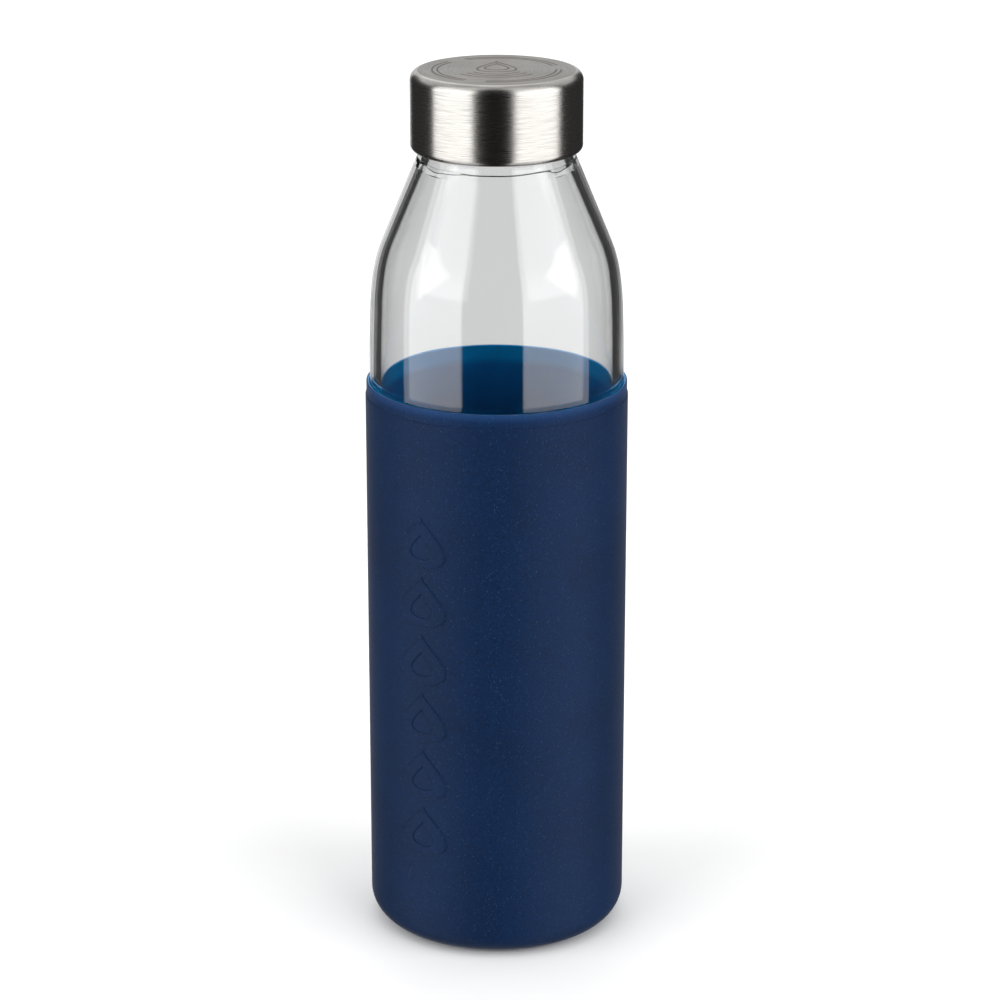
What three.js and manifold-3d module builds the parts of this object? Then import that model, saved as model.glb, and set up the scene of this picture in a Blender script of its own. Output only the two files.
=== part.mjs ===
// A glass water bottle: a borosilicate body in a silicone sleeve, closed by a screw lid of
// brushed steel over a plastic thread insert, with a steel disc and a sealing ring inside.
// Millimetres, +Z up. The origin is the centre of the foot that the bottle stands on.

import * as THREE from 'three';
import { mergeVertices } from 'three/addons/utils/BufferGeometryUtils.js';
import Module from 'manifold-3d';

const wasm = await Module();
wasm.setup();

// ---- Driving sizes ----

// Glass body
const BODY_RADIUS = 32.35;
const GLASS_WALL = 2.8;
const BASE_THICKNESS = 5;
const HEEL_RADIUS = 6;            // outer corner between the wall and the base
const INNER_HEEL_RADIUS = 5;
const PUSH_UP_RADIUS = 20;        // hollow under the base, which rises over a sloped edge
const PUSH_UP_HEIGHT = 1.3;
const PUSH_UP_SLOPE = 6;
const SHOULDER_RISE = 2.7;        // from the sleeve's rim to where the wall starts to draw in
const SHOULDER_ARCS = [           // tangent arcs, each up to its lean from the vertical
  { radius: 380, lean: 2.56, steps: 2 },
  { radius: 78, lean: 8.5, steps: 2 },
  { radius: 37, lean: 22.5, steps: 5 },
];

// Glass neck and its screw thread
const NECK_RADIUS = 17.55;
const NECK_WALL = 2.35;
const NECK_HEIGHT = 11.8;         // from the cone's end to the lip
const NECK_ROOT_RADIUS = 2;
const BORE_ROOT_RADIUS = 3;
const BORE_LEDGE_DROP = 7.2;      // from the neck's root down to a small step in the inner face
const BORE_LEDGE_STEP = 0.45;
const THREAD_PITCH = 4.23;
const THREAD_DEPTH = 1.2;
const THREAD_ROOT_WIDTH = 2.2;
const THREAD_CREST_WIDTH = 0.9;
const THREAD_TURNS = 1.25;
const THREAD_CLEARANCE = 0.35;    // radial, between one thread's crest and the other's root
const THREAD_START_RISE = 2.4;    // from the neck's root to the middle of the thread's start
const INSERT_THREAD_START = 0.125; // turns after the neck's thread, half a pitch lower

// Silicone sleeve
const SLEEVE_HEIGHT = 147.3;
const SLEEVE_WALL = 1;
const SLEEVE_FLOOR = 1.8;
const SLEEVE_GAP = 0.15;
const SLEEVE_BAND_HEIGHT = 3.5;   // thinner band below the rim
const SLEEVE_BAND_STEP = 0.25;
const FOOT_INNER_RADIUS = 14;     // the foot is a ring around a shallow recess
const FOOT_RECESS = 0.6;

// Lid
const SHELL_WALL = 0.5;
const SHELL_TOP_EDGE = 2.4;       // rounding between the shell's side and its top
const SHELL_HEM_RADIUS = 1.5;     // the shell's lower edge curls in under the insert
const SKIRT_DEPTH = 4.2;          // how far the shell hangs below the neck's root
const LID_GAP = 0.15;             // between the pieces stacked in the lid
const INSERT_WALL = 1.82;         // outside the thread's root
const INSERT_TOP = 1.1;
const SEAT_REACH = 0.4;           // how far the seal's seat reaches down past the lip
const SEAL_WIDTH = 3;
const SEAL_THICKNESS = 2;
const SEAL_BEAD = 0.3;
const DISC_THICKNESS = 0.4;
const DISC_RIM_WIDTH = 1.6;
const DISC_DISH = 0.9;

const SEGMENTS = 48;
const ROUNDING_MARGIN = 0.05;     // kept flat beside each of two roundings that meet

// ---- Places worked out from the sizes ----

const radians = THREE.MathUtils.degToRad;

const sleeveRadius = BODY_RADIUS + SLEEVE_GAP + SLEEVE_WALL;
const glassBase = SLEEVE_FLOOR + SLEEVE_GAP;
const shoulderBase = SLEEVE_HEIGHT + SHOULDER_RISE;
const coneLean = radians(SHOULDER_ARCS.at(-1).lean);
const coneStart = shoulderCurve(0).at(-1);
const neckRoot = coneStart.y + (coneStart.x - NECK_RADIUS) / Math.tan(coneLean);
const lip = neckRoot + NECK_HEIGHT;
const boreRadius = NECK_RADIUS - NECK_WALL;
const threadStart = neckRoot + THREAD_START_RISE;

const insertCrest = NECK_RADIUS + THREAD_CLEARANCE;
const insertBore = insertCrest + THREAD_DEPTH;
const insertRadius = insertBore + INSERT_WALL;
const lidRadius = insertRadius + LID_GAP + SHELL_WALL;
const lidBottom = neckRoot - SKIRT_DEPTH;
const sealInner = boreRadius - LID_GAP;
const sealOuter = sealInner + SEAL_WIDTH;
const sealBottom = lip + LID_GAP;
const sealTop = sealBottom + SEAL_THICKNESS;
const insertCeiling = sealTop + LID_GAP;
const insertTop = insertCeiling + INSERT_TOP;
const lidTop = insertTop + LID_GAP + SHELL_WALL;

// ---- Outlines, as points (radius, height) that run with the material on their left ----

// Tangent arcs of the shoulder, moved inwards by inset. The last point starts the cone.
function shoulderCurve(inset) {
  const centre = new THREE.Vector2(BODY_RADIUS, shoulderBase);
  const points = [new THREE.Vector2(BODY_RADIUS - inset, shoulderBase)];
  let lean = 0;
  let previousRadius = 0;
  for (const arc of SHOULDER_ARCS) {
    const shift = arc.radius - previousRadius;
    centre.x -= shift * Math.cos(lean);
    centre.y -= shift * Math.sin(lean);
    const reach = arc.radius - inset;
    for (let step = 1; step <= arc.steps; step++) {
      const angle = THREE.MathUtils.lerp(lean, radians(arc.lean), step / arc.steps);
      points.push(new THREE.Vector2(
        centre.x + reach * Math.cos(angle), centre.y + reach * Math.sin(angle)));
    }
    lean = radians(arc.lean);
    previousRadius = arc.radius;
  }
  return points;
}

// Corners [radius, height] or [radius, height, fillet], with each fillet drawn as an arc.
function rounded(corners) {
  const stepAngle = radians(22.5);
  const points = [];
  corners.forEach(([x, y, fillet], index) => {
    const corner = new THREE.Vector2(x, y);
    if (!fillet) {
      points.push(corner);
      return;
    }
    const before = new THREE.Vector2(...corners.at(index - 1)).sub(corner).normalize();
    const after = new THREE.Vector2(...corners[(index + 1) % corners.length]);
    after.sub(corner).normalize();
    const half = Math.acos(THREE.MathUtils.clamp(before.dot(after), -1, 1)) / 2;
    const bisector = before.clone().add(after).normalize();
    const centre = corner.clone().addScaledVector(bisector, fillet / Math.sin(half));
    const start = corner.clone().addScaledVector(before, fillet / Math.tan(half)).sub(centre);
    const turn = (Math.PI - 2 * half) * Math.sign(after.cross(before));
    const steps = Math.max(2, Math.ceil(Math.abs(turn) / stepAngle - 0.01));
    for (let step = 0; step <= steps; step++) {
      const offset = start.clone().rotateAround(new THREE.Vector2(), turn * step / steps);
      points.push(offset.add(centre));
    }
  });
  return points;
}

// ---- Solids ----

// Only the positions matter, with shared vertices merged and flat triangles dropped.
function welded(geometry) {
  const bare = new THREE.BufferGeometry();
  bare.setAttribute('position', geometry.getAttribute('position'));
  bare.setIndex(geometry.getIndex());
  const merged = mergeVertices(bare);
  const index = merged.getIndex().array;
  const kept = [];
  for (let i = 0; i < index.length; i += 3) {
    const [a, b, c] = index.subarray(i, i + 3);
    if (a !== b && b !== c && c !== a) kept.push(a, b, c);
  }
  merged.setIndex(kept);
  return merged;
}

// An outline turned about the Z axis. Outlines that don't start on the axis are closed.
function revolved(outline) {
  const touchesAxis = outline[0].x === 0;
  const points = touchesAxis ? outline : [...outline, outline[0]];
  return welded(new THREE.LatheGeometry(points, SEGMENTS).rotateX(Math.PI / 2));
}

// A screw-thread ridge that climbs from height, on a wall of the given radius. It stands
// out from the wall if side is 1 and in from it if side is -1, and runs out at both ends.
function threadRidge({ wallRadius, side, height, startTurn, turns }) {
  const sunk = 0.3;
  const runOutSteps = 6;
  const leastDepth = 0.05;
  const steps = Math.round(turns * SEGMENTS);
  const positions = [];
  for (let step = 0; step <= steps; step++) {
    const turn = startTurn + step / SEGMENTS;
    const runOut = Math.min(1, step / runOutSteps, (steps - step) / runOutSteps);
    const depth = THREE.MathUtils.lerp(leastDepth, THREAD_DEPTH, runOut);
    const root = wallRadius - side * sunk;
    const crest = wallRadius + side * depth;
    const middle = height + turn * THREAD_PITCH;
    const section = [
      [root, -side * THREAD_ROOT_WIDTH / 2],
      [crest, -side * THREAD_CREST_WIDTH / 2],
      [crest, side * THREAD_CREST_WIDTH / 2],
      [root, side * THREAD_ROOT_WIDTH / 2],
    ];
    for (const [radius, rise] of section) {
      const angle = turn * 2 * Math.PI;
      positions.push(radius * Math.cos(angle), radius * Math.sin(angle), middle + rise);
    }
  }
  const corners = 4;
  const end = steps * corners;
  const index = [0, 1, 2, 0, 2, 3, end, end + 2, end + 1, end, end + 3, end + 2];
  for (let step = 0; step < steps; step++) {
    for (let corner = 0; corner < corners; corner++) {
      const a = step * corners + corner;
      const b = step * corners + (corner + 1) % corners;
      index.push(a, a + corners, b + corners, a, b + corners, b);
    }
  }
  const geometry = new THREE.BufferGeometry();
  geometry.setAttribute('position', new THREE.Float32BufferAttribute(positions, 3));
  geometry.setIndex(index);
  return geometry;
}

function toManifold(geometry) {
  const clean = welded(geometry);
  return new wasm.Manifold(new wasm.Mesh({
    numProp: 3,
    vertProperties: new Float32Array(clean.getAttribute('position').array),
    triVerts: new Uint32Array(clean.getIndex().array),
  }));
}

function joined(first, second) {
  const mesh = toManifold(first).add(toManifold(second)).getMesh();
  const geometry = new THREE.BufferGeometry();
  geometry.setAttribute('position', new THREE.BufferAttribute(mesh.vertProperties, 3));
  geometry.setIndex(new THREE.BufferAttribute(mesh.triVerts, 1));
  return geometry;
}

// ---- Sub-parts ----

function glassBottle() {
  const lipRounding = NECK_WALL / 2 - ROUNDING_MARGIN;
  const innerFloor = glassBase + BASE_THICKNESS;
  const innerRadius = BODY_RADIUS - GLASS_WALL;
  const innerConeStart = shoulderCurve(GLASS_WALL).at(-1);
  const ledge = neckRoot - BORE_LEDGE_DROP;
  const ledgeRadius = innerConeStart.x - (ledge - innerConeStart.y) * Math.tan(coneLean);
  const aboveLedge = ledgeRadius - BORE_LEDGE_STEP;
  const boreRoot = ledge + (aboveLedge - boreRadius) / Math.tan(coneLean);
  const lower = rounded([
    [0, glassBase + PUSH_UP_HEIGHT],
    [PUSH_UP_RADIUS - PUSH_UP_SLOPE, glassBase + PUSH_UP_HEIGHT],
    [PUSH_UP_RADIUS, glassBase],
    [BODY_RADIUS, glassBase, HEEL_RADIUS],
    [BODY_RADIUS, shoulderBase],
  ]);
  const upper = rounded([
    coneStart.toArray(),
    [NECK_RADIUS, neckRoot, NECK_ROOT_RADIUS],
    [NECK_RADIUS, lip, lipRounding],
    [boreRadius, lip, lipRounding],
    [boreRadius, boreRoot, BORE_ROOT_RADIUS],
    [aboveLedge, ledge],
    [ledgeRadius, ledge - BORE_LEDGE_STEP / 2],
    innerConeStart.toArray(),
  ]);
  const inner = rounded([
    [innerRadius, shoulderBase],
    [innerRadius, innerFloor, INNER_HEEL_RADIUS],
    [PUSH_UP_RADIUS, innerFloor],
    [0, innerFloor + PUSH_UP_HEIGHT / 2],
  ]);
  const outline = [
    ...lower,
    ...shoulderCurve(0).slice(1, -1),
    ...upper,
    ...shoulderCurve(GLASS_WALL).slice(1, -1).reverse(),
    ...inner,
  ];
  const ridge = threadRidge({
    wallRadius: NECK_RADIUS, side: 1, height: threadStart, startTurn: 0, turns: THREAD_TURNS,
  });
  return joined(revolved(outline), ridge);
}

function siliconeSleeve() {
  const bandRadius = sleeveRadius - SLEEVE_BAND_STEP;
  const bandBottom = SLEEVE_HEIGHT - SLEEVE_BAND_HEIGHT;
  const innerRadius = BODY_RADIUS + SLEEVE_GAP;
  const rimRounding = (bandRadius - innerRadius) / 2 - ROUNDING_MARGIN;
  return revolved(rounded([
    [0, FOOT_RECESS],
    [FOOT_INNER_RADIUS - FOOT_RECESS, FOOT_RECESS],
    [FOOT_INNER_RADIUS, 0],
    [sleeveRadius, 0, HEEL_RADIUS + SLEEVE_WALL],
    [sleeveRadius, bandBottom - SLEEVE_BAND_STEP],
    [bandRadius, bandBottom],
    [bandRadius, SLEEVE_HEIGHT, rimRounding],
    [innerRadius, SLEEVE_HEIGHT, rimRounding],
    [innerRadius, SLEEVE_FLOOR, HEEL_RADIUS],
    [0, SLEEVE_FLOOR],
  ]));
}

function lidShell() {
  const inner = lidRadius - SHELL_WALL;
  const hemEnd = lidRadius - SHELL_HEM_RADIUS;
  return revolved(rounded([
    [0, lidTop - SHELL_WALL],
    [inner, lidTop - SHELL_WALL, SHELL_TOP_EDGE - SHELL_WALL],
    [inner, lidBottom + SHELL_WALL, SHELL_HEM_RADIUS - SHELL_WALL],
    [hemEnd, lidBottom + SHELL_WALL],
    [hemEnd, lidBottom],
    [lidRadius, lidBottom, SHELL_HEM_RADIUS],
    [lidRadius, lidTop, SHELL_TOP_EDGE],
    [0, lidTop],
  ]));
}

function lidThreadInsert() {
  const bottom = lidBottom + SHELL_WALL + LID_GAP;
  const mouthChamfer = 0.5;
  const edgeChamfer = 1;
  const topRounding = SHELL_TOP_EDGE - SHELL_WALL - LID_GAP;
  const seatRadius = sealOuter + LID_GAP;
  const seatBottom = lip - SEAT_REACH;
  const insert = revolved(rounded([
    [0, insertCeiling],
    [seatRadius, insertCeiling],
    [seatRadius, seatBottom],
    [insertBore, seatBottom - (insertBore - seatRadius)],
    [insertBore, bottom + mouthChamfer],
    [insertBore + mouthChamfer, bottom],
    [insertRadius - edgeChamfer, bottom],
    [insertRadius, bottom + edgeChamfer],
    [insertRadius, insertTop, topRounding],
    [0, insertTop],
  ]));
  const ridge = threadRidge({
    wallRadius: insertBore, side: -1, height: threadStart - THREAD_PITCH / 2,
    startTurn: INSERT_THREAD_START, turns: THREAD_TURNS,
  });
  return joined(insert, ridge);
}

// A pressed disc: a flat rim around a shallow dish.
function lidLinerDisc() {
  const radius = sealInner - LID_GAP;
  const rim = radius - DISC_RIM_WIDTH;
  const dish = rim - DISC_DISH;
  const top = insertCeiling - LID_GAP;
  const dishTop = top - DISC_DISH;
  return revolved(rounded([
    [0, dishTop - DISC_THICKNESS],
    [dish, dishTop - DISC_THICKNESS],
    [rim, top - DISC_THICKNESS],
    [radius, top - DISC_THICKNESS],
    [radius, top],
    [rim, top],
    [dish, dishTop],
    [0, dishTop],
  ]));
}

// A flat ring whose underside carries a broad bead that the lip presses into.
function sealRing() {
  const beadMargin = 0.6;
  return revolved(rounded([
    [sealInner, sealBottom + SEAL_BEAD],
    [sealInner + beadMargin, sealBottom + SEAL_BEAD],
    [sealInner + beadMargin + SEAL_BEAD, sealBottom],
    [sealOuter - beadMargin - SEAL_BEAD, sealBottom],
    [sealOuter - beadMargin, sealBottom + SEAL_BEAD],
    [sealOuter, sealBottom + SEAL_BEAD],
    [sealOuter, sealTop],
    [sealInner, sealTop],
  ]));
}

// ---- Assembly ----

const PARTS = [
  ['glass_bottle', glassBottle, { color: 0xe9f1f0, roughness: 0.02, metalness: 0 }],
  ['silicone_sleeve', siliconeSleeve, { color: 0x1c2f63, roughness: 0.75, metalness: 0 }],
  ['lid_shell', lidShell, { color: 0xb8b6b1, roughness: 0.32, metalness: 1 }],
  ['lid_thread_insert', lidThreadInsert, { color: 0xe4e4e0, roughness: 0.5, metalness: 0 }],
  ['lid_liner_disc', lidLinerDisc, { color: 0xc4c3bf, roughness: 0.25, metalness: 1 }],
  ['seal_ring', sealRing, { color: 0xd9dad8, roughness: 0.7, metalness: 0 }],
];

const bottle = new THREE.Group();
for (const [name, makeGeometry, finish] of PARTS) {
  const mesh = new THREE.Mesh(makeGeometry(), new THREE.MeshStandardMaterial(finish));
  mesh.name = name;
  bottle.add(mesh);
}

export default bottle;
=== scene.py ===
"""A glass water bottle with a silicone sleeve and a brushed steel screw lid, in metres."""
import math

import bmesh
import bpy
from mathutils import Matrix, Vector, noise


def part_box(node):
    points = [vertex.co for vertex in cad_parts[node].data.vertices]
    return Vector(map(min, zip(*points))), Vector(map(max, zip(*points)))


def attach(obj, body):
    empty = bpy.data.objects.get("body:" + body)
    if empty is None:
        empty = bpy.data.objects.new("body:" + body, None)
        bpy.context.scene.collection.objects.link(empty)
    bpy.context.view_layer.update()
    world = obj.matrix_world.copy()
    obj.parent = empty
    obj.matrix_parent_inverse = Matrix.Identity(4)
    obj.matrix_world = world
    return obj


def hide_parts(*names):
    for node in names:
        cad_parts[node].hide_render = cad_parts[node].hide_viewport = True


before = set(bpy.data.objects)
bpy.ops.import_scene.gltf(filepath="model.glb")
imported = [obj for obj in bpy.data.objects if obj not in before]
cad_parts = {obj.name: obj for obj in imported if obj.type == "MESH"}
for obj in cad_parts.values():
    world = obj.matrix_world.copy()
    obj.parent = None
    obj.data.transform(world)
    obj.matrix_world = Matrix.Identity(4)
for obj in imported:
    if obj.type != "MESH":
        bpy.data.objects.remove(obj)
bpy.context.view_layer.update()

MM = 0.001
TAU = 2 * math.pi

# ---- Sizes: from the frame where it has them, the rest as the parts' own sizes ----

GLASS_LOW, GLASS_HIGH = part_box("glass_bottle")
SLEEVE_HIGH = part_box("silicone_sleeve")[1]
SHELL_LOW, SHELL_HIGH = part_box("lid_shell")
INSERT_LOW, INSERT_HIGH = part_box("lid_thread_insert")
DISC_LOW, DISC_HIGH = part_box("lid_liner_disc")
SEAL_LOW, SEAL_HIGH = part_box("seal_ring")

BODY_RADIUS = GLASS_HIGH.x
SLEEVE_RADIUS = SLEEVE_HIGH.x
SLEEVE_RIM = SLEEVE_HIGH.z
LID_RADIUS = SHELL_HIGH.x
BASE = GLASS_LOW.z
LIP = GLASS_HIGH.z

GLASS_WALL = 2.8 * MM
BASE_THICKNESS = 5 * MM
HEEL_RADIUS = 6 * MM
INNER_HEEL_RADIUS = 5 * MM
PUSH_UP_HEIGHT = 1.3 * MM
PUSH_UP_RADIUS = 20 * MM
PUSH_UP_SLOPE = 6 * MM
SHOULDER_BASE = SLEEVE_RIM + 2.7 * MM
# Each arc's radius, its lean from the vertical in degrees at its end, and its steps
SHOULDER_ARCS = [(380 * MM, 2.56, 8), (78 * MM, 8.5, 8), (37 * MM, 22.5, 18)]
CONE_LEAN = math.radians(SHOULDER_ARCS[-1][1])
NECK_RADIUS = 17.55 * MM
NECK_WALL = 2.35 * MM
NECK_HEIGHT = 11.8 * MM
NECK_ROOT = LIP - NECK_HEIGHT
NECK_ROOT_RADIUS = 2 * MM
LIP_ROUNDING = NECK_WALL / 2 - 0.05 * MM
BORE_ROOT_RADIUS = 3 * MM
BORE_RADIUS = NECK_RADIUS - NECK_WALL
BORE_LEDGE = NECK_ROOT - 7.2 * MM
BORE_LEDGE_STEP = 0.45 * MM
THREAD_PITCH = 4.23 * MM
THREAD_DEPTH = 1.2 * MM
THREAD_TURNS = 1.25
THREAD_ROOT_WIDTH = 2.2 * MM
THREAD_CREST_WIDTH = 0.6 * MM
THREAD_CLEARANCE = 0.35 * MM
THREAD_START = NECK_ROOT + 2.4 * MM
INSERT_THREAD_START = 0.125
INSERT_BORE = NECK_RADIUS + THREAD_CLEARANCE + THREAD_DEPTH

LID_WALL = 0.5 * MM
LID_GAP = 0.15 * MM
LID_HEM_RADIUS = 1.5 * MM
LID_TOP_EDGE = 2.4 * MM

SLEEVE_WALL = 1 * MM
SLEEVE_FLOOR = 1.8 * MM
BAND_HEIGHT = 3.5 * MM
BAND_STEP = 0.25 * MM
FOOT_INNER_RADIUS = 14 * MM
FOOT_RECESS = 0.6 * MM

# ---- Outlines: points (radius, height) that run with the material on their left ----


def rounded(corners, step=math.radians(7.5)):
    """Corners (r, z) or (r, z, fillet); each fillet becomes an arc."""
    points = []
    for i, corner in enumerate(corners):
        here = Vector(corner[:2])
        if len(corner) == 2:
            points.append(here)
            continue
        fillet = corner[2]
        before = (Vector(corners[i - 1][:2]) - here).normalized()
        after = (Vector(corners[(i + 1) % len(corners)][:2]) - here).normalized()
        half = before.angle(after) / 2
        centre = here + (before + after).normalized() * (fillet / math.sin(half))
        start = here + before * (fillet / math.tan(half)) - centre
        side = 1 if before.x * after.y - before.y * after.x < 0 else -1
        turn = (math.pi - 2 * half) * side
        steps = max(3, math.ceil(abs(turn) / step))
        for k in range(steps + 1):
            a = turn * k / steps
            points.append(centre + Vector((
                start.x * math.cos(a) - start.y * math.sin(a),
                start.x * math.sin(a) + start.y * math.cos(a))))
    return points


def dense(points, longest):
    """The outline with every stretch longer than this cut into even steps."""
    made = []
    for a, b in zip(points, points[1:]):
        steps = max(1, math.ceil((b - a).length / longest))
        made += [a.lerp(b, k / steps) for k in range(steps)]
    return made + [points[-1]]


def shoulder(inset):
    """Tangent arcs from the body's wall to the cone, moved inwards by inset."""
    centre = Vector((BODY_RADIUS, SHOULDER_BASE))
    points = [Vector((BODY_RADIUS - inset, SHOULDER_BASE))]
    lean, previous = 0.0, 0.0
    for radius, end, steps in SHOULDER_ARCS:
        centre -= Vector((math.cos(lean), math.sin(lean))) * (radius - previous)
        for k in range(1, steps + 1):
            a = lean + (math.radians(end) - lean) * k / steps
            points.append(centre + Vector((math.cos(a), math.sin(a))) * (radius - inset))
        lean, previous = math.radians(end), radius
    return points


# ---- Meshes ----


def mesh_from(bm, name):
    bmesh.ops.recalc_face_normals(bm, faces=bm.faces)
    mesh = bpy.data.meshes.new(name)
    bm.to_mesh(mesh)
    bm.free()
    return mesh


def finish_piece(name, mesh, body, node, material, sharp=math.radians(40)):
    mesh.validate()
    mesh.shade_smooth()
    mesh.set_sharp_from_angle(angle=sharp)
    piece = bpy.data.objects.new(name, mesh)
    bpy.context.scene.collection.objects.link(piece)
    mesh.materials.append(material)
    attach(piece, body)
    if node:
        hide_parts(node)
    return piece


ON_AXIS = 1e-9


def revolve(name, outline, segments, shift=None):
    """A mesh turned about Z. Outlines that don't touch the axis close on themselves.
    shift(angle, r, z) gives each point's new (r, z)."""
    bm = bmesh.new()
    on_axis = abs(outline[0].x) < ON_AXIS
    rings = []
    for r, z in outline:
        if abs(r) < ON_AXIS:
            rings.append([bm.verts.new((0, 0, z))])
            continue
        ring = []
        for k in range(segments):
            angle = TAU * k / segments
            rr, zz = shift(angle, r, z) if shift else (r, z)
            ring.append(bm.verts.new((rr * math.sin(angle), -rr * math.cos(angle), zz)))
        rings.append(ring)
    pairs = list(zip(rings, rings[1:])) + ([] if on_axis else [(rings[-1], rings[0])])
    for low, high in pairs:
        for k in range(segments):
            n = (k + 1) % segments
            quad = [low[k % len(low)], low[n % len(low)], high[n % len(high)], high[k % len(high)]]
            corners = list(dict.fromkeys(quad))
            if len(corners) > 2:
                bm.faces.new(corners)
    return mesh_from(bm, name)


def smooth_step(x):
    x = min(1.0, max(0.0, x))
    return x * x * (3 - 2 * x)


def thread_height(angle, z, start, first_turn):
    """How far a thread's ridge stands out of its wall at this angle and height. The
    thread's turns count from +X, and the angle from -Y."""
    run_out_turns = 0.13
    best = 0.0
    for lap in range(-1, 4):
        turn = angle / TAU - 0.25 + lap
        along = turn - first_turn
        if not 0 <= along <= THREAD_TURNS:
            continue
        off = abs(z - start - turn * THREAD_PITCH)
        flank = (THREAD_ROOT_WIDTH - 2 * off) / (THREAD_ROOT_WIDTH - THREAD_CREST_WIDTH)
        run_out = min(along, THREAD_TURNS - along) / run_out_turns
        best = max(best, smooth_step(flank) * smooth_step(run_out))
    return best * THREAD_DEPTH


def glass_outline():
    cone_out, cone_in = shoulder(0)[-1], shoulder(GLASS_WALL)[-1]
    ledge_radius = cone_in.x - (BORE_LEDGE - cone_in.y) * math.tan(CONE_LEAN)
    above_ledge = ledge_radius - BORE_LEDGE_STEP
    bore_root = BORE_LEDGE + (above_ledge - BORE_RADIUS) / math.tan(CONE_LEAN)
    floor = BASE + BASE_THICKNESS
    ledge_rounding = 0.25 * MM
    lower = rounded([
        (0, BASE + PUSH_UP_HEIGHT),
        (PUSH_UP_RADIUS - PUSH_UP_SLOPE, BASE + PUSH_UP_HEIGHT, 6 * MM),
        (PUSH_UP_RADIUS, BASE, 3 * MM),
        (BODY_RADIUS, BASE, HEEL_RADIUS),
        (BODY_RADIUS, SHOULDER_BASE),
    ])
    upper = rounded([
        tuple(cone_out),
        (NECK_RADIUS, NECK_ROOT, NECK_ROOT_RADIUS),
        (NECK_RADIUS, LIP, LIP_ROUNDING),
        (BORE_RADIUS, LIP, LIP_ROUNDING),
        (BORE_RADIUS, bore_root, BORE_ROOT_RADIUS),
        (above_ledge, BORE_LEDGE, ledge_rounding),
        (ledge_radius, BORE_LEDGE - ledge_rounding, ledge_rounding),
        tuple(cone_in),
    ])
    inner = rounded([
        (BODY_RADIUS - GLASS_WALL, SHOULDER_BASE),
        (BODY_RADIUS - GLASS_WALL, floor, INNER_HEEL_RADIUS),
        (PUSH_UP_RADIUS, floor, 30 * MM),
        (0, floor + PUSH_UP_HEIGHT / 2),
    ])
    body_row, neck_row = 4 * MM, 0.18 * MM
    return (dense(lower, body_row) + shoulder(0)[1:-1] + dense(upper, neck_row)
            + shoulder(GLASS_WALL)[-2:0:-1] + dense(inner, body_row))


def glass_shift(angle, r, z):
    """The thread outside the neck and the slightly uneven inner face of blown glass."""
    on_neck = abs(r - NECK_RADIUS) < 0.05 * MM and NECK_ROOT + 0.4 * MM < z < LIP - 1.2 * MM
    if on_neck:
        return r + thread_height(angle, z, THREAD_START, 0.0), z
    ux, uy = math.sin(angle), -math.cos(angle)
    reach, wave_height, most_sag = 1.8 * MM, 0.35 * MM, 0.9 * MM
    nearness = math.exp(-((z - BORE_LEDGE) / reach) ** 2)
    if r < BORE_RADIUS + 2.9 * MM and nearness > 0.01:
        wave = wave_height * noise.noise(Vector((ux * 2.2, uy * 2.2, 3.7)))
        sag = max(0.0, 1.6 * noise.noise(Vector((ux * 2.6, uy * 2.6, 5.3))))
        z += nearness * wave
        if z < BORE_LEDGE - 0.1 * MM + wave:
            z -= nearness * most_sag * sag
    elif is_inside_wall(r, z):
        swell = 0.10 * MM
        r += swell * noise.noise(Vector((ux * 1.7, uy * 1.7, z * 22)))
    return r, z


MID_WALL = shoulder(GLASS_WALL / 2)


def is_inside_wall(r, z):
    """Whether a point of the outline lies on the inner face of the body or shoulder."""
    if not BASE + 12 * MM < z < NECK_ROOT - 8 * MM:
        return False
    if z < SHOULDER_BASE:
        return r < BODY_RADIUS - GLASS_WALL / 2
    above = [p for p in MID_WALL if p.y >= z]
    if above:
        return r < above[0].x
    cone = MID_WALL[-1]
    return r < cone.x - (z - cone.y) * math.tan(CONE_LEAN)


def make_glass(material):
    mesh = revolve("glass_body", glass_outline(), 256, glass_shift)
    return finish_piece("glass_body", mesh, "bottle", "glass_bottle", material)


def make_sleeve(material, inner_material):
    band = SLEEVE_RADIUS - BAND_STEP
    inner = SLEEVE_RADIUS - SLEEVE_WALL
    rim = 0.32 * MM
    ledge = SLEEVE_RIM - BAND_HEIGHT
    gate_mark = 1.5 * MM
    ring = 9 * MM
    ring_width = 0.8 * MM
    mark_depth = 0.25 * MM
    slope = 0.2 * MM
    outline = rounded([
        (0, FOOT_RECESS - mark_depth),
        (gate_mark, FOOT_RECESS - mark_depth, 0.15 * MM),
        (gate_mark + slope, FOOT_RECESS, 0.1 * MM),
        (ring, FOOT_RECESS, 0.1 * MM),
        (ring + slope, FOOT_RECESS - mark_depth, 0.1 * MM),
        (ring + ring_width, FOOT_RECESS - mark_depth, 0.1 * MM),
        (ring + ring_width + slope, FOOT_RECESS, 0.1 * MM),
        (FOOT_INNER_RADIUS - FOOT_RECESS, FOOT_RECESS, 0.4 * MM),
        (FOOT_INNER_RADIUS, 0, 0.3 * MM),
        (SLEEVE_RADIUS, 0, HEEL_RADIUS + SLEEVE_WALL),
        (SLEEVE_RADIUS, ledge - BAND_STEP, 0.12 * MM),
        (band, ledge, 0.12 * MM),
        (band, SLEEVE_RIM, rim),
        (inner, SLEEVE_RIM, rim),
        (inner, SLEEVE_FLOOR, HEEL_RADIUS),
        (0, SLEEVE_FLOOR),
    ])
    mesh = revolve("sleeve_body", dense(outline, 3 * MM), 256)
    piece = finish_piece("sleeve_body", mesh, "sleeve", "silicone_sleeve", material)
    mesh.materials.append(inner_material)
    for face in mesh.polygons:
        from_axis = Vector((face.center.x, face.center.y, 0))
        faces_in = face.normal.dot(from_axis) <= 0 and face.normal.z > -0.1
        if faces_in and from_axis.length < SLEEVE_RADIUS - 0.7 * MM:
            face.material_index = 1
    return piece


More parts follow.
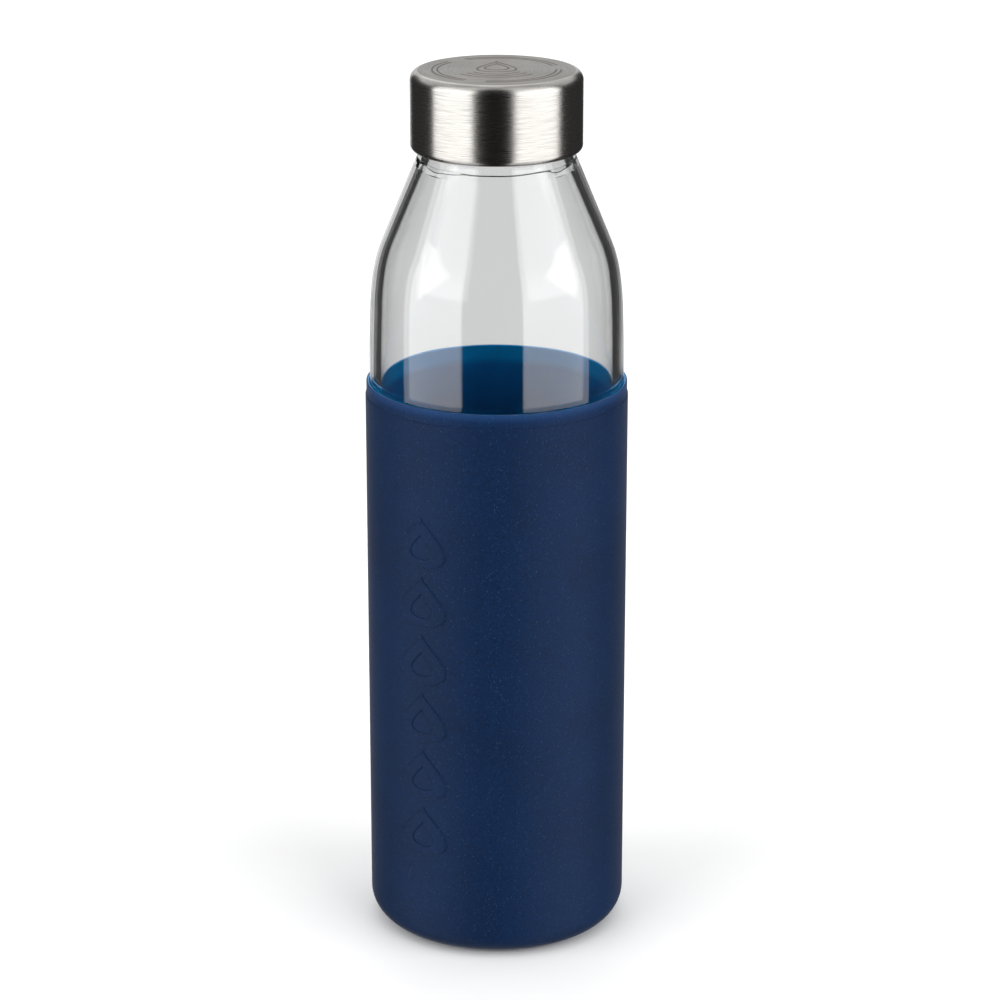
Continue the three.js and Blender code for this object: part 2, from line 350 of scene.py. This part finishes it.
# ---- Raised drops on the sleeve and drop mark on the lid ----

MOTIF_COUNT = 6
MOTIF_AZIMUTH = math.radians(-34.5)
MOTIF_LOW, MOTIF_HIGH = 26 * MM, 120 * MM
MOTIF_HALF_WIDTH = 7.6 * MM
MOTIF_HALF_HEIGHT = 6.6 * MM
MOTIF_PROUD = 0.3 * MM


def drop(half_width, half_height, count, shift=0.0):
    """A teardrop outline with its tip up, moved up by shift."""
    points = []
    for k in range(count):
        t = TAU * k / count
        x = 1.32 * half_width * math.sin(t) * abs(math.sin(t / 2)) ** 1.5
        points.append(Vector((x, half_height * math.cos(t) + shift)))
    return points


def grown(points, distance):
    """The outline moved outwards by a distance along its normals."""
    made = []
    for i, point in enumerate(points):
        along = points[(i + 1) % len(points)] - points[i - 1]
        out = Vector((-along.y, along.x)).normalized()
        made.append(point + out * distance)
    return made


def ring_slab(bm, rows, place, closed=True):
    """A band whose cross-section runs through rows of matching outlines, with flat ends if
    the outlines are open. place(point, height) gives the position of an outline's point."""
    rings = [[bm.verts.new(place(p, height)) for p in outline] for outline, height in rows]
    count = len(rings[0])
    spans = count if closed else count - 1
    for low, high in zip(rings, rings[1:] + rings[:1]):
        for k in range(spans):
            n = (k + 1) % count
            bm.faces.new((low[k], low[n], high[n], high[k]))
    if not closed:
        for end in (0, -1):
            bm.faces.new([ring[end] for ring in rings])


def raised_rows(outer, inner, proud, sunk, bevel, steps):
    """Cross-section of a raised band between two outlines, with rounded shoulders."""
    def across(k):
        return [a.lerp(b, k / steps) for a, b in zip(grown(outer, -bevel), grown(inner, bevel))]
    rows = [(grown(outer, 0.5 * bevel), -sunk), (grown(outer, 0.25 * bevel), 0.2 * proud),
            (outer, 0.6 * proud), (grown(outer, -0.4 * bevel), 0.9 * proud)]
    rows += [(across(k), proud) for k in range(steps + 1)]
    rows += [(grown(inner, 0.4 * bevel), 0.9 * proud), (inner, 0.6 * proud),
             (grown(inner, -0.25 * bevel), 0.2 * proud), (grown(inner, -0.5 * bevel), -sunk)]
    rows += [(across(k), -sunk) for k in range(steps, -1, -1)]
    return rows


def make_motifs(material):
    """Six raised drops in a column; they stand for the moulded marking."""
    pitch = (MOTIF_HIGH - MOTIF_LOW) / MOTIF_COUNT
    sunk, bevel, steps, points = 0.3 * MM, 0.35 * MM, 6, 120
    outer = drop(MOTIF_HALF_WIDTH, MOTIF_HALF_HEIGHT, points)
    inner = drop(MOTIF_HALF_WIDTH * 0.46, MOTIF_HALF_HEIGHT * 0.5, points, -0.16 * MOTIF_HALF_HEIGHT)
    rows = raised_rows(outer, inner, MOTIF_PROUD, sunk, bevel, steps)
    bm = bmesh.new()
    for k in range(MOTIF_COUNT):
        centre = MOTIF_LOW + (k + 0.5) * pitch

        def place(point, height, centre=centre):
            angle = MOTIF_AZIMUTH + point.x / SLEEVE_RADIUS
            reach = SLEEVE_RADIUS + height
            return reach * math.sin(angle), -reach * math.cos(angle), centre + point.y

        ring_slab(bm, rows, place)
    mesh = mesh_from(bm, "sleeve_raised_drops")
    return finish_piece("sleeve_raised_drops", mesh, "sleeve", None, material)


def circle_arc(radius, start, end, count, centre=Vector((0, 0))):
    points = []
    for k in range(count + 1):
        a = math.radians(start + (end - start) * k / count)
        points.append(centre + Vector((radius * math.cos(a), radius * math.sin(a))))
    return points


def line_slab(bm, points, width, closed, place):
    """A thin closed ribbon along a line; place(point, height) as in ring_slab."""
    count = len(points)
    sides = ([], [])
    for i, point in enumerate(points):
        before = points[i - 1] if closed or i else point
        after = points[(i + 1) % count] if closed or i < count - 1 else point
        out = Vector((-(after - before).y, (after - before).x)).normalized() * width / 2
        sides[0].append(point + out)
        sides[1].append(point - out)
    rows = [(sides[0], -MARK_SUNK), (sides[0], MARK_PROUD),
            (sides[1], MARK_PROUD), (sides[1], -MARK_SUNK)]
    ring_slab(bm, rows, place, closed)


MARK_PROUD = 0.02 * MM
MARK_SUNK = 0.06 * MM
MARK_LINE = 0.5 * MM


def make_lid_mark(material):
    """A fine-lined drop above ripples inside broken double rings, on the lid's top."""
    bm = bmesh.new()

    def place(point, height):
        return point.x, point.y, SHELL_HIGH.z + height

    for start in (20, 140, 260):
        for radius in (16 * MM, 14.7 * MM):
            line_slab(bm, circle_arc(radius, start, start + 100, 60), MARK_LINE, False, place)
    for half_width, half_height in ((5.2 * MM, 6.6 * MM), (3.2 * MM, 4.1 * MM)):
        outline = drop(half_width, half_height, 96, 3.4 * MM)
        line_slab(bm, outline, MARK_LINE, True, place)
    for radius in (7.2 * MM, 9.2 * MM, 11.2 * MM):
        arc = circle_arc(radius, 218, 322, 40, Vector((0, 1.2 * MM)))
        line_slab(bm, arc, MARK_LINE, False, place)
    mesh = mesh_from(bm, "lid_laser_mark")
    return finish_piece("lid_laser_mark", mesh, "lid", None, material)


def make_lid_shell(material):
    inner = LID_RADIUS - LID_WALL
    hem_end = LID_RADIUS - LID_HEM_RADIUS
    outline = rounded([
        (0, SHELL_HIGH.z - LID_WALL),
        (inner, SHELL_HIGH.z - LID_WALL, LID_TOP_EDGE - LID_WALL),
        (inner, SHELL_LOW.z + LID_WALL, LID_HEM_RADIUS - LID_WALL),
        (hem_end, SHELL_LOW.z + LID_WALL),
        (hem_end, SHELL_LOW.z),
        (LID_RADIUS, SHELL_LOW.z, LID_HEM_RADIUS),
        (LID_RADIUS, SHELL_HIGH.z, LID_TOP_EDGE),
        (0, SHELL_HIGH.z),
    ])
    mesh = revolve("lid_shell_steel", dense(outline, 2 * MM), 256)
    return finish_piece("lid_shell_steel", mesh, "lid", "lid_shell", material)


def make_insert(material):
    bottom, top, radius = INSERT_LOW.z, INSERT_HIGH.z, INSERT_HIGH.x
    ceiling = SEAL_HIGH.z + LID_GAP
    seat = SEAL_HIGH.x + LID_GAP
    seat_bottom = LIP - 0.4 * MM
    small, mouth_chamfer, edge_chamfer = 0.3 * MM, 0.5 * MM, 1 * MM
    outline = rounded([
        (0, ceiling),
        (seat, ceiling, small),
        (seat, seat_bottom, small),
        (INSERT_BORE, seat_bottom - (INSERT_BORE - seat), small),
        (INSERT_BORE, bottom + mouth_chamfer, small),
        (INSERT_BORE + mouth_chamfer, bottom, 0.2 * MM),
        (radius - edge_chamfer, bottom, small),
        (radius, bottom + edge_chamfer, 0.4 * MM),
        (radius, top, LID_TOP_EDGE - LID_WALL - LID_GAP),
        (0, top),
    ])
    thread_low, thread_high = bottom + 1 * MM, LIP - 2 * MM

    def shift(angle, r, z):
        if abs(r - INSERT_BORE) < 0.02 * MM and thread_low < z < thread_high:
            r -= thread_height(angle, z, THREAD_START - THREAD_PITCH / 2, INSERT_THREAD_START)
        return r, z

    mesh = revolve("lid_insert_moulded", dense(outline, 0.25 * MM), 192, shift)
    return finish_piece("lid_insert_moulded", mesh, "lid", "lid_thread_insert", material)


def make_disc(material):
    low, high, radius = DISC_LOW.z, DISC_HIGH.z, DISC_HIGH.x
    wall = 0.4 * MM
    rim = radius - 1.6 * MM
    dish = rim - 0.9 * MM
    outline = rounded([
        (0, low),
        (dish, low, 0.7 * MM),
        (rim, high - wall, 0.5 * MM),
        (radius, high - wall, 0.15 * MM),
        (radius, high, 0.15 * MM),
        (rim, high, 0.5 * MM),
        (dish, low + wall, 0.5 * MM),
        (0, low + wall),
    ])
    mesh = revolve("liner_disc_steel", dense(outline, 2 * MM), 160)
    return finish_piece("liner_disc_steel", mesh, "lid", "lid_liner_disc", material)


def make_seal(material):
    inner, outer = SEAL_HIGH.x - 3 * MM, SEAL_HIGH.x
    low, high = SEAL_LOW.z, SEAL_HIGH.z
    bead, margin, small = 0.3 * MM, 0.6 * MM, 0.15 * MM
    outline = rounded([
        (inner, low + bead, small),
        (inner + margin, low + bead, small),
        (inner + margin + bead, low, small),
        (outer - margin - bead, low, small),
        (outer - margin, low + bead, small),
        (outer, low + bead, small),
        (outer, high, 0.4 * MM),
        (inner, high, 0.4 * MM),
    ])
    mesh = revolve("seal_ring_silicone", outline, 160)
    return finish_piece("seal_ring_silicone", mesh, "lid_seal", "seal_ring", material)


# ---- Shader nodes ----


def new_material(name):
    material = bpy.data.materials.new(name)
    material.use_nodes = True
    return material, material.node_tree.nodes, material.node_tree.links


def math_node(nodes, links, operation, *values):
    node = nodes.new("ShaderNodeMath")
    node.operation = operation
    for socket, value in zip(node.inputs, values):
        if isinstance(value, (int, float)):
            socket.default_value = value
        else:
            links.new(value, socket)
    return node.outputs[0]


def ramp_node(nodes, links, value, stops, interpolation="LINEAR"):
    node = nodes.new("ShaderNodeValToRGB")
    node.color_ramp.interpolation = interpolation
    elements = node.color_ramp.elements
    while len(elements) < len(stops):
        elements.new(0.5)
    for element, (position, colour) in zip(elements, stops):
        element.position = position
        element.color = (*colour, 1) if isinstance(colour, tuple) else (colour,) * 3 + (1,)
    links.new(value, node.inputs[0])
    return node.outputs[0]


def between(nodes, links, value, low, high, soft):
    """1 where the value lies between low and high, with soft edges."""
    sides = []
    for edge, order in ((low, 1), (high, -1)):
        node = nodes.new("ShaderNodeMapRange")
        node.interpolation_type = "SMOOTHSTEP"
        links.new(value, node.inputs["Value"])
        node.inputs["From Min"].default_value = edge - soft * order
        node.inputs["From Max"].default_value = edge + soft * order
        sides.append(node.outputs[0])
    return math_node(nodes, links, "MULTIPLY", *sides)


def object_space(nodes, links):
    """Outputs: the position, x, y, z and the distance from the axis, all in metres."""
    where = nodes.new("ShaderNodeTexCoord").outputs["Object"]
    split = nodes.new("ShaderNodeSeparateXYZ")
    links.new(where, split.inputs[0])
    x, y, z = split.outputs
    squares = math_node(nodes, links, "ADD", math_node(nodes, links, "MULTIPLY", x, x),
                        math_node(nodes, links, "MULTIPLY", y, y))
    return where, x, y, z, math_node(nodes, links, "SQRT", squares)


def noise_node(nodes, links, where, scale, detail=2.0):
    node = nodes.new("ShaderNodeTexNoise")
    links.new(where, node.inputs["Vector"])
    node.inputs["Scale"].default_value = scale
    node.inputs["Detail"].default_value = detail
    return node.outputs[0]


def bump_node(nodes, links, height, distance, strength, before=None):
    node = nodes.new("ShaderNodeBump")
    links.new(height, node.inputs["Height"])
    node.inputs["Distance"].default_value = distance
    node.inputs["Strength"].default_value = strength
    if before:
        links.new(before, node.inputs["Normal"])
    return node.outputs[0]


def blend(nodes, links, factor, first, second, mode="MIX"):
    node = nodes.new("ShaderNodeMix")
    node.data_type, node.blend_type = "RGBA", mode
    factor_in, first_in, second_in = node.inputs[0], node.inputs[6], node.inputs[7]
    for socket, value in ((factor_in, factor), (first_in, first), (second_in, second)):
        if isinstance(value, (int, float)):
            socket.default_value = value
        elif isinstance(value, tuple):
            socket.default_value = (*value, 1)
        else:
            links.new(value, socket)
    return node.outputs[2]


# ---- Materials ----


def glass_material():
    material, nodes, links = new_material("clear_borosilicate_glass")
    shader = nodes["Principled BSDF"]
    where = object_space(nodes, links)[0]
    tint = ramp_node(nodes, links, noise_node(nodes, links, where, 30), [
        (0.3, (0.974, 0.983, 0.979)), (0.7, (0.984, 0.988, 0.986))])
    links.new(tint, shader.inputs["Base Color"])
    wiped = noise_node(nodes, links, where, 90, 4)
    links.new(ramp_node(nodes, links, wiped, [(0.55, 0.0), (0.8, 0.02)]), shader.inputs["Roughness"])
    waves = noise_node(nodes, links, where, 70, 1)
    links.new(bump_node(nodes, links, waves, 0.04 * MM, 0.4), shader.inputs["Normal"])
    shader.inputs["IOR"].default_value = 1.5
    shader.inputs["Transmission Weight"].default_value = 1.0
    return material


def dust_specks(nodes, links, where):
    """1 on scattered specks of dust of uneven size."""
    dust = nodes.new("ShaderNodeTexVoronoi")
    links.new(where, dust.inputs["Vector"])
    dust.inputs["Scale"].default_value = 2100
    split = nodes.new("ShaderNodeSeparateColor")
    links.new(dust.outputs["Color"], split.inputs[0])
    size = math_node(nodes, links, "MULTIPLY", split.outputs[0], 0.3)
    speck = math_node(nodes, links, "LESS_THAN", dust.outputs["Distance"], size)
    chosen = math_node(nodes, links, "GREATER_THAN", split.outputs[1], 0.35)
    strength = math_node(nodes, links, "MULTIPLY", split.outputs[2], chosen)
    return math_node(nodes, links, "MULTIPLY", speck, strength)


def silicone_material():
    """The sleeve's outside: matt, with a moulded grain, a slight mottle and dust. Painted
    light makes the band brighter towards the rim, in place of light through the thin band."""
    material, nodes, links = new_material("navy_silicone")
    shader = nodes["Principled BSDF"]
    where, _, _, z, _ = object_space(nodes, links)

    mottle = ramp_node(nodes, links, noise_node(nodes, links, where, 45, 4), [(0.3, 0.88), (0.7, 1.12)])
    colour = blend(nodes, links, 1.0, (0.0, 0.0112, 0.045), mottle, "MULTIPLY")
    grit = ramp_node(nodes, links, noise_node(nodes, links, where, 2400, 2), [(0.35, 0.8), (0.65, 1.25)])
    colour = blend(nodes, links, 1.0, colour, grit, "MULTIPLY")
    # Painted light: the band's colour brightens towards the rim, in place of light coming through the
    # thin silicone.
    above_ledge = math_node(nodes, links, "SUBTRACT", z, SLEEVE_RIM - BAND_HEIGHT)
    up_the_band = math_node(nodes, links, "DIVIDE", above_ledge, BAND_HEIGHT)
    painted_band_light = ramp_node(nodes, links, up_the_band, [
        (0.0, (0, 0, 0)), (0.45, (0.0, 0.004, 0.016)), (0.95, (0.006, 0.024, 0.07))])
    colour = blend(nodes, links, 1.0, colour, painted_band_light, "ADD")
    speck = math_node(nodes, links, "MULTIPLY", dust_specks(nodes, links, where), 0.4)
    links.new(blend(nodes, links, speck, colour, (0.06, 0.11, 0.2)), shader.inputs["Base Color"])

    fine = noise_node(nodes, links, where, 2600, 3)
    links.new(ramp_node(nodes, links, fine, [(0.3, 0.47), (0.7, 0.6)]), shader.inputs["Roughness"])
    shader.inputs["Specular IOR Level"].default_value = 0.12
    shader.inputs["Sheen Weight"].default_value = 0.1
    shader.inputs["Sheen Roughness"].default_value = 0.35
    grain = bump_node(nodes, links, fine, 0.02 * MM, 0.5)
    uneven = noise_node(nodes, links, where, 220, 3)
    links.new(bump_node(nodes, links, uneven, 0.06 * MM, 0.35, grain), shader.inputs["Normal"])
    return material


def inner_silicone_material():
    """The sleeve's inside: smooth where it lies on the glass; its colour brightens towards its rim as
    painted light.
    """
    material, nodes, links = new_material("navy_silicone_inside")
    shader = nodes["Principled BSDF"]
    where, _, _, z, _ = object_space(nodes, links)
    # Painted light: the colour brightens with height, most in the band under the rim, in place of light
    # coming through the silicone.
    inner_height = math_node(nodes, links, "DIVIDE", z, SLEEVE_RIM)
    colour = ramp_node(nodes, links, inner_height, [
        (0.0, (0.0, 0.045, 0.16)), (0.80, (0.0, 0.15, 0.49)),
        (0.965, (0.0, 0.19, 0.58)), (0.978, (0.0, 0.33, 0.82))])
    mottle = ramp_node(nodes, links, noise_node(nodes, links, where, 60, 4), [(0.3, 0.9), (0.7, 1.1)])
    colour = blend(nodes, links, 1.0, colour, mottle, "MULTIPLY")
    speck = math_node(nodes, links, "MULTIPLY", dust_specks(nodes, links, where), 0.35)
    links.new(blend(nodes, links, speck, colour, (0.1, 0.4, 0.75)), shader.inputs["Base Color"])
    smooth = noise_node(nodes, links, where, 140, 3)
    links.new(ramp_node(nodes, links, smooth, [(0.3, 0.08), (0.7, 0.14)]), shader.inputs["Roughness"])
    shader.inputs["Specular IOR Level"].default_value = 0.5
    return material


def steel_material(name, base, roughness, top_z, top_painted_shade=1.0):
    """Steel brushed around the Z axis: streaks follow the circles on the side and on top.
    The top shade factor darkens the colour of the face at the height top_z: it is painted shade. That
    face is also brushed more coarsely."""
    material, nodes, links = new_material(name)
    shader = nodes["Principled BSDF"]
    _, x, y, z, radius = object_space(nodes, links)
    streak_depth = 0.012 * MM
    safe = math_node(nodes, links, "MAXIMUM", radius, 0.1 * MM)
    across = math_node(nodes, links, "SUBTRACT", z, radius)

    def streaks(around, fineness, detail):
        vector = nodes.new("ShaderNodeCombineXYZ")
        for socket, part in zip(vector.inputs, (x, y)):
            unit = math_node(nodes, links, "DIVIDE", part, safe)
            links.new(math_node(nodes, links, "MULTIPLY", unit, around), socket)
        links.new(math_node(nodes, links, "MULTIPLY", across, fineness), vector.inputs[2])
        return noise_node(nodes, links, vector.outputs[0], 1.0, detail)

    long_lines = streaks(2.2, 5200, 2)
    short_lines = streaks(4.5, 8500, 2)
    scratches = streaks(13, 11000, 2)
    both = math_node(nodes, links, "MULTIPLY_ADD", short_lines, 0.5,
                     math_node(nodes, links, "MULTIPLY", long_lines, 0.5))
    shade = ramp_node(nodes, links, both, [(0.35, 0.72), (0.5, 0.98), (0.66, 1.16)])
    colour = blend(nodes, links, 1.0, base, shade, "MULTIPLY")
    on_top = between(nodes, links, z, top_z - 0.06 * MM, top_z + 1 * MM, 0.04 * MM)
    # Painted shade: the top face's colour is darkened by the top shade factor.
    top_painted_shade_colour = (top_painted_shade, top_painted_shade * 0.985, top_painted_shade * 0.96)
    colour = blend(nodes, links, on_top, colour, top_painted_shade_colour, "MULTIPLY")
    links.new(colour, shader.inputs["Base Color"])
    rough = ramp_node(nodes, links, both, [(0.3, roughness + 0.07), (0.7, roughness - 0.05)])
    links.new(math_node(nodes, links, "MULTIPLY_ADD", on_top, 0.1, rough), shader.inputs["Roughness"])
    shader.inputs["Metallic"].default_value = 1.0
    shader.inputs["Anisotropic"].default_value = 0.8
    shader.inputs["Anisotropic Rotation"].default_value = 0.25
    tangent = nodes.new("ShaderNodeTangent")
    tangent.direction_type, tangent.axis = "RADIAL", "Z"
    links.new(tangent.outputs[0], shader.inputs["Tangent"])
    uneven = bump_node(nodes, links, scratches, 1.6 * streak_depth, 0.5)
    links.new(bump_node(nodes, links, both, streak_depth, 0.55, uneven), shader.inputs["Normal"])
    return material


def mark_material():
    material, nodes, links = new_material("laser_marked_steel")
    shader = nodes["Principled BSDF"]
    where = object_space(nodes, links)[0]
    tone = ramp_node(nodes, links, noise_node(nodes, links, where, 1500, 3),
                     [(0.3, (0.05, 0.036, 0.028)), (0.7, (0.1, 0.076, 0.062))])
    links.new(tone, shader.inputs["Base Color"])
    shader.inputs["Metallic"].default_value = 0.6
    shader.inputs["Roughness"].default_value = 0.5
    return material


def moulded_material(name, colour, roughness, grain_scale):
    """A moulded plastic or rubber: cloudy colour, uneven gloss and a fine grain."""
    material, nodes, links = new_material(name)
    shader = nodes["Principled BSDF"]
    where = object_space(nodes, links)[0]
    cloud = ramp_node(nodes, links, noise_node(nodes, links, where, 120, 4), [(0.3, 0.93), (0.7, 1.05)])
    links.new(blend(nodes, links, 1.0, colour, cloud, "MULTIPLY"), shader.inputs["Base Color"])
    grain = noise_node(nodes, links, where, grain_scale, 3)
    links.new(ramp_node(nodes, links, grain, [(0.3, roughness - 0.06), (0.7, roughness + 0.08)]),
              shader.inputs["Roughness"])
    links.new(bump_node(nodes, links, grain, 0.02 * MM, 0.5), shader.inputs["Normal"])
    return material


# ---- Camera, light and floor ----

CAMERA_PITCH = math.radians(18.448)
CAMERA_DISTANCE = 0.84934
CAMERA_LENS = 118.478
SENSOR_WIDTH = 36
AIM = Vector((0.00083, 0, 0.11442))
FLOOR_REACH = 6.0


def make_camera():
    camera = bpy.data.objects.new("camera", bpy.data.cameras.new("camera"))
    camera.data.lens = CAMERA_LENS
    camera.data.sensor_width = SENSOR_WIDTH
    back = Vector((0, -math.cos(CAMERA_PITCH), math.sin(CAMERA_PITCH)))
    camera.location = AIM + back * CAMERA_DISTANCE
    camera.rotation_euler = (math.pi / 2 - CAMERA_PITCH, 0, 0)
    bpy.context.scene.collection.objects.link(camera)
    bpy.context.scene.camera = camera


# Azimuths in degrees from -Y, elevations in degrees, and strengths of the studio's lights
SOFT_BOXES = ((-92, -32), (24, 91))
BRIGHT_PANES = ((-74, -27), (29, 81))
BACK_PANEL_SIDES = (-158.5, 167.5)
DARK = 0.012
BACK_PANEL = 0.72
BACK_PANEL_RAISED = 0.82
CROWN = 0.9
OVERHEAD = 0.5
PANE_EXTRA = 1.1
PANE_ROWS = (2, 34)
RAISED_ROWS = (8, 90)
CROWN_ROWS = (22, 62)
CROWN_GAP = (-105, 105)
OVERHEAD_ROWS = (66, 120)
DIM_SIDES = 0.04
SOFT_FILL = 0.37
SEEN_THROUGH_GLASS = 0.75
# The soft boxes' strength at each elevation in degrees
BOX_BY_ELEVATION = ((-78, 0.6), (-42, 1.7), (-22, 2.15), (-5, 2.7),
                    (12, 2.7), (34, 1.75), (60, 1.1), (85, 0.5))
BOX_TOP_STRENGTH = 3.0


def make_world():
    """A studio by direction: two tall soft boxes with brighter panes, dark between them, a
    pale back panel with a crown above it, and a weak light overhead. The camera and the rays
    that go straight through the glass see plain light in its place."""
    world = bpy.data.worlds.new("studio")
    bpy.context.scene.world = world
    world.use_nodes = True
    nodes, links = world.node_tree.nodes, world.node_tree.links
    where = nodes.new("ShaderNodeTexCoord").outputs["Generated"]
    split = nodes.new("ShaderNodeSeparateXYZ")
    links.new(where, split.inputs[0])
    x, y, z = split.outputs

    def compute(operation, *values):
        return math_node(nodes, links, operation, *values)

    azimuth = compute("DEGREES", compute("ARCTAN2", x, compute("MULTIPLY", y, -1.0)))
    elevation = compute("DEGREES", compute("ARCSINE", z))

    stops = [((degrees + 90) / 180, value / BOX_TOP_STRENGTH) for degrees, value in BOX_BY_ELEVATION]
    height = compute("MULTIPLY_ADD", elevation, 1 / 180, 0.5)
    box_light = compute("MULTIPLY", ramp_node(nodes, links, height, stops), BOX_TOP_STRENGTH)
    boxes = [between(nodes, links, azimuth, low, high, 1.5) for low, high in SOFT_BOXES]
    panes = [between(nodes, links, azimuth, low, high, 1.0) for low, high in BRIGHT_PANES]
    pane_rows = between(nodes, links, elevation, *PANE_ROWS, 2.0)
    pane_light = compute("MULTIPLY", pane_rows, PANE_EXTRA)
    sides = between(nodes, links, azimuth, *BACK_PANEL_SIDES, 1.0)
    raised = between(nodes, links, elevation, *RAISED_ROWS, 3.0)
    panel_light = compute("MULTIPLY_ADD", raised, BACK_PANEL_RAISED - BACK_PANEL, BACK_PANEL)
    panel = compute("MULTIPLY", compute("SUBTRACT", 1.0, sides), panel_light)
    crown_rows = between(nodes, links, elevation, *CROWN_ROWS, 5.0)
    crown_side = compute("SUBTRACT", 1.0, between(nodes, links, azimuth, *CROWN_GAP, 10.0))
    crown = compute("MULTIPLY", compute("MULTIPLY", crown_rows, crown_side), CROWN)
    panel = compute("ADD", panel, crown)
    overhead_rows = between(nodes, links, elevation, *OVERHEAD_ROWS, 5.0)
    overhead = compute("MULTIPLY", overhead_rows, OVERHEAD)
    panel = compute("ADD", panel, overhead)
    front = between(nodes, links, azimuth, SOFT_BOXES[0][0], SOFT_BOXES[1][1], 1.5)
    dim = compute("MULTIPLY_ADD", front, DARK - DIM_SIDES, DIM_SIDES)
    light = compute("ADD", panel, dim)
    light = compute("ADD", light, compute("MULTIPLY", compute("ADD", *boxes), box_light))
    light = compute("ADD", light, compute("MULTIPLY", compute("ADD", *panes), pane_light))
    path = nodes.new("ShaderNodeLightPath").outputs
    fill = compute("MULTIPLY", path["Is Diffuse Ray"], SOFT_FILL)
    light = compute("ADD", light, fill)
    links.new(light, nodes["Background"].inputs["Strength"])
    nodes["Background"].inputs["Color"].default_value = (1, 1, 1, 1)

    bounced = compute("ADD", path["Glossy Depth"], path["Diffuse Depth"])
    straight = compute("LESS_THAN", bounced, 0.5)
    through = compute("MULTIPLY", path["Is Transmission Ray"], straight)
    seen = nodes.new("ShaderNodeBackground")
    seen.inputs["Color"].default_value = (1, 1, 1, 1)
    links.new(compute("MULTIPLY_ADD", through, SEEN_THROUGH_GLASS - 1, 1.0),
              seen.inputs["Strength"])
    mix = nodes.new("ShaderNodeMixShader")
    links.new(compute("MAXIMUM", through, path["Is Camera Ray"]), mix.inputs[0])
    links.new(nodes["Background"].outputs[0], mix.inputs[1])
    links.new(seen.outputs[0], mix.inputs[2])
    links.new(mix.outputs[0], nodes["World Output"].inputs["Surface"])


def make_floor():
    mesh = bpy.data.meshes.new("floor")
    corners = [(x * FLOOR_REACH, y * FLOOR_REACH, 0) for x, y in ((-1, -1), (1, -1), (1, 1), (-1, 1))]
    mesh.from_pydata(corners, [], [(0, 1, 2, 3)])
    floor = bpy.data.objects.new("floor", mesh)
    bpy.context.scene.collection.objects.link(floor)
    material, nodes, _ = new_material("pale_floor")
    shader = nodes["Principled BSDF"]
    shader.inputs["Base Color"].default_value = (0.9, 0.9, 0.9, 1)
    shader.inputs["Roughness"].default_value = 1.0
    shader.inputs["Specular IOR Level"].default_value = 0.0
    mesh.materials.append(material)
    floor.visible_glossy = False
    floor.visible_transmission = False


def set_look():
    scene = bpy.context.scene
    scene.view_settings.view_transform = "Standard"
    scene.cycles.use_denoising = True
    scene.cycles.max_bounces = 16
    scene.cycles.transmission_bounces = 16
    scene.cycles.glossy_bounces = 8
    scene.cycles.sample_clamp_indirect = 6


make_camera()
make_world()
make_floor()
set_look()
make_glass(glass_material())
silicone = silicone_material()
make_sleeve(silicone, inner_silicone_material())
make_motifs(silicone)
make_lid_mark(mark_material())
# The last value, 0.52, is painted shade that darkens the lid's top face.
lid_steel = steel_material("brushed_steel", (0.425, 0.41, 0.39), 0.27, SHELL_HIGH.z, 0.52)
make_lid_shell(lid_steel)
make_insert(moulded_material("milky_polypropylene", (0.8, 0.8, 0.78), 0.4, 1400))
make_disc(steel_material("liner_steel", (0.6, 0.59, 0.57), 0.26, DISC_HIGH.z))
make_seal(moulded_material("seal_silicone", (0.75, 0.76, 0.75), 0.5, 2200))
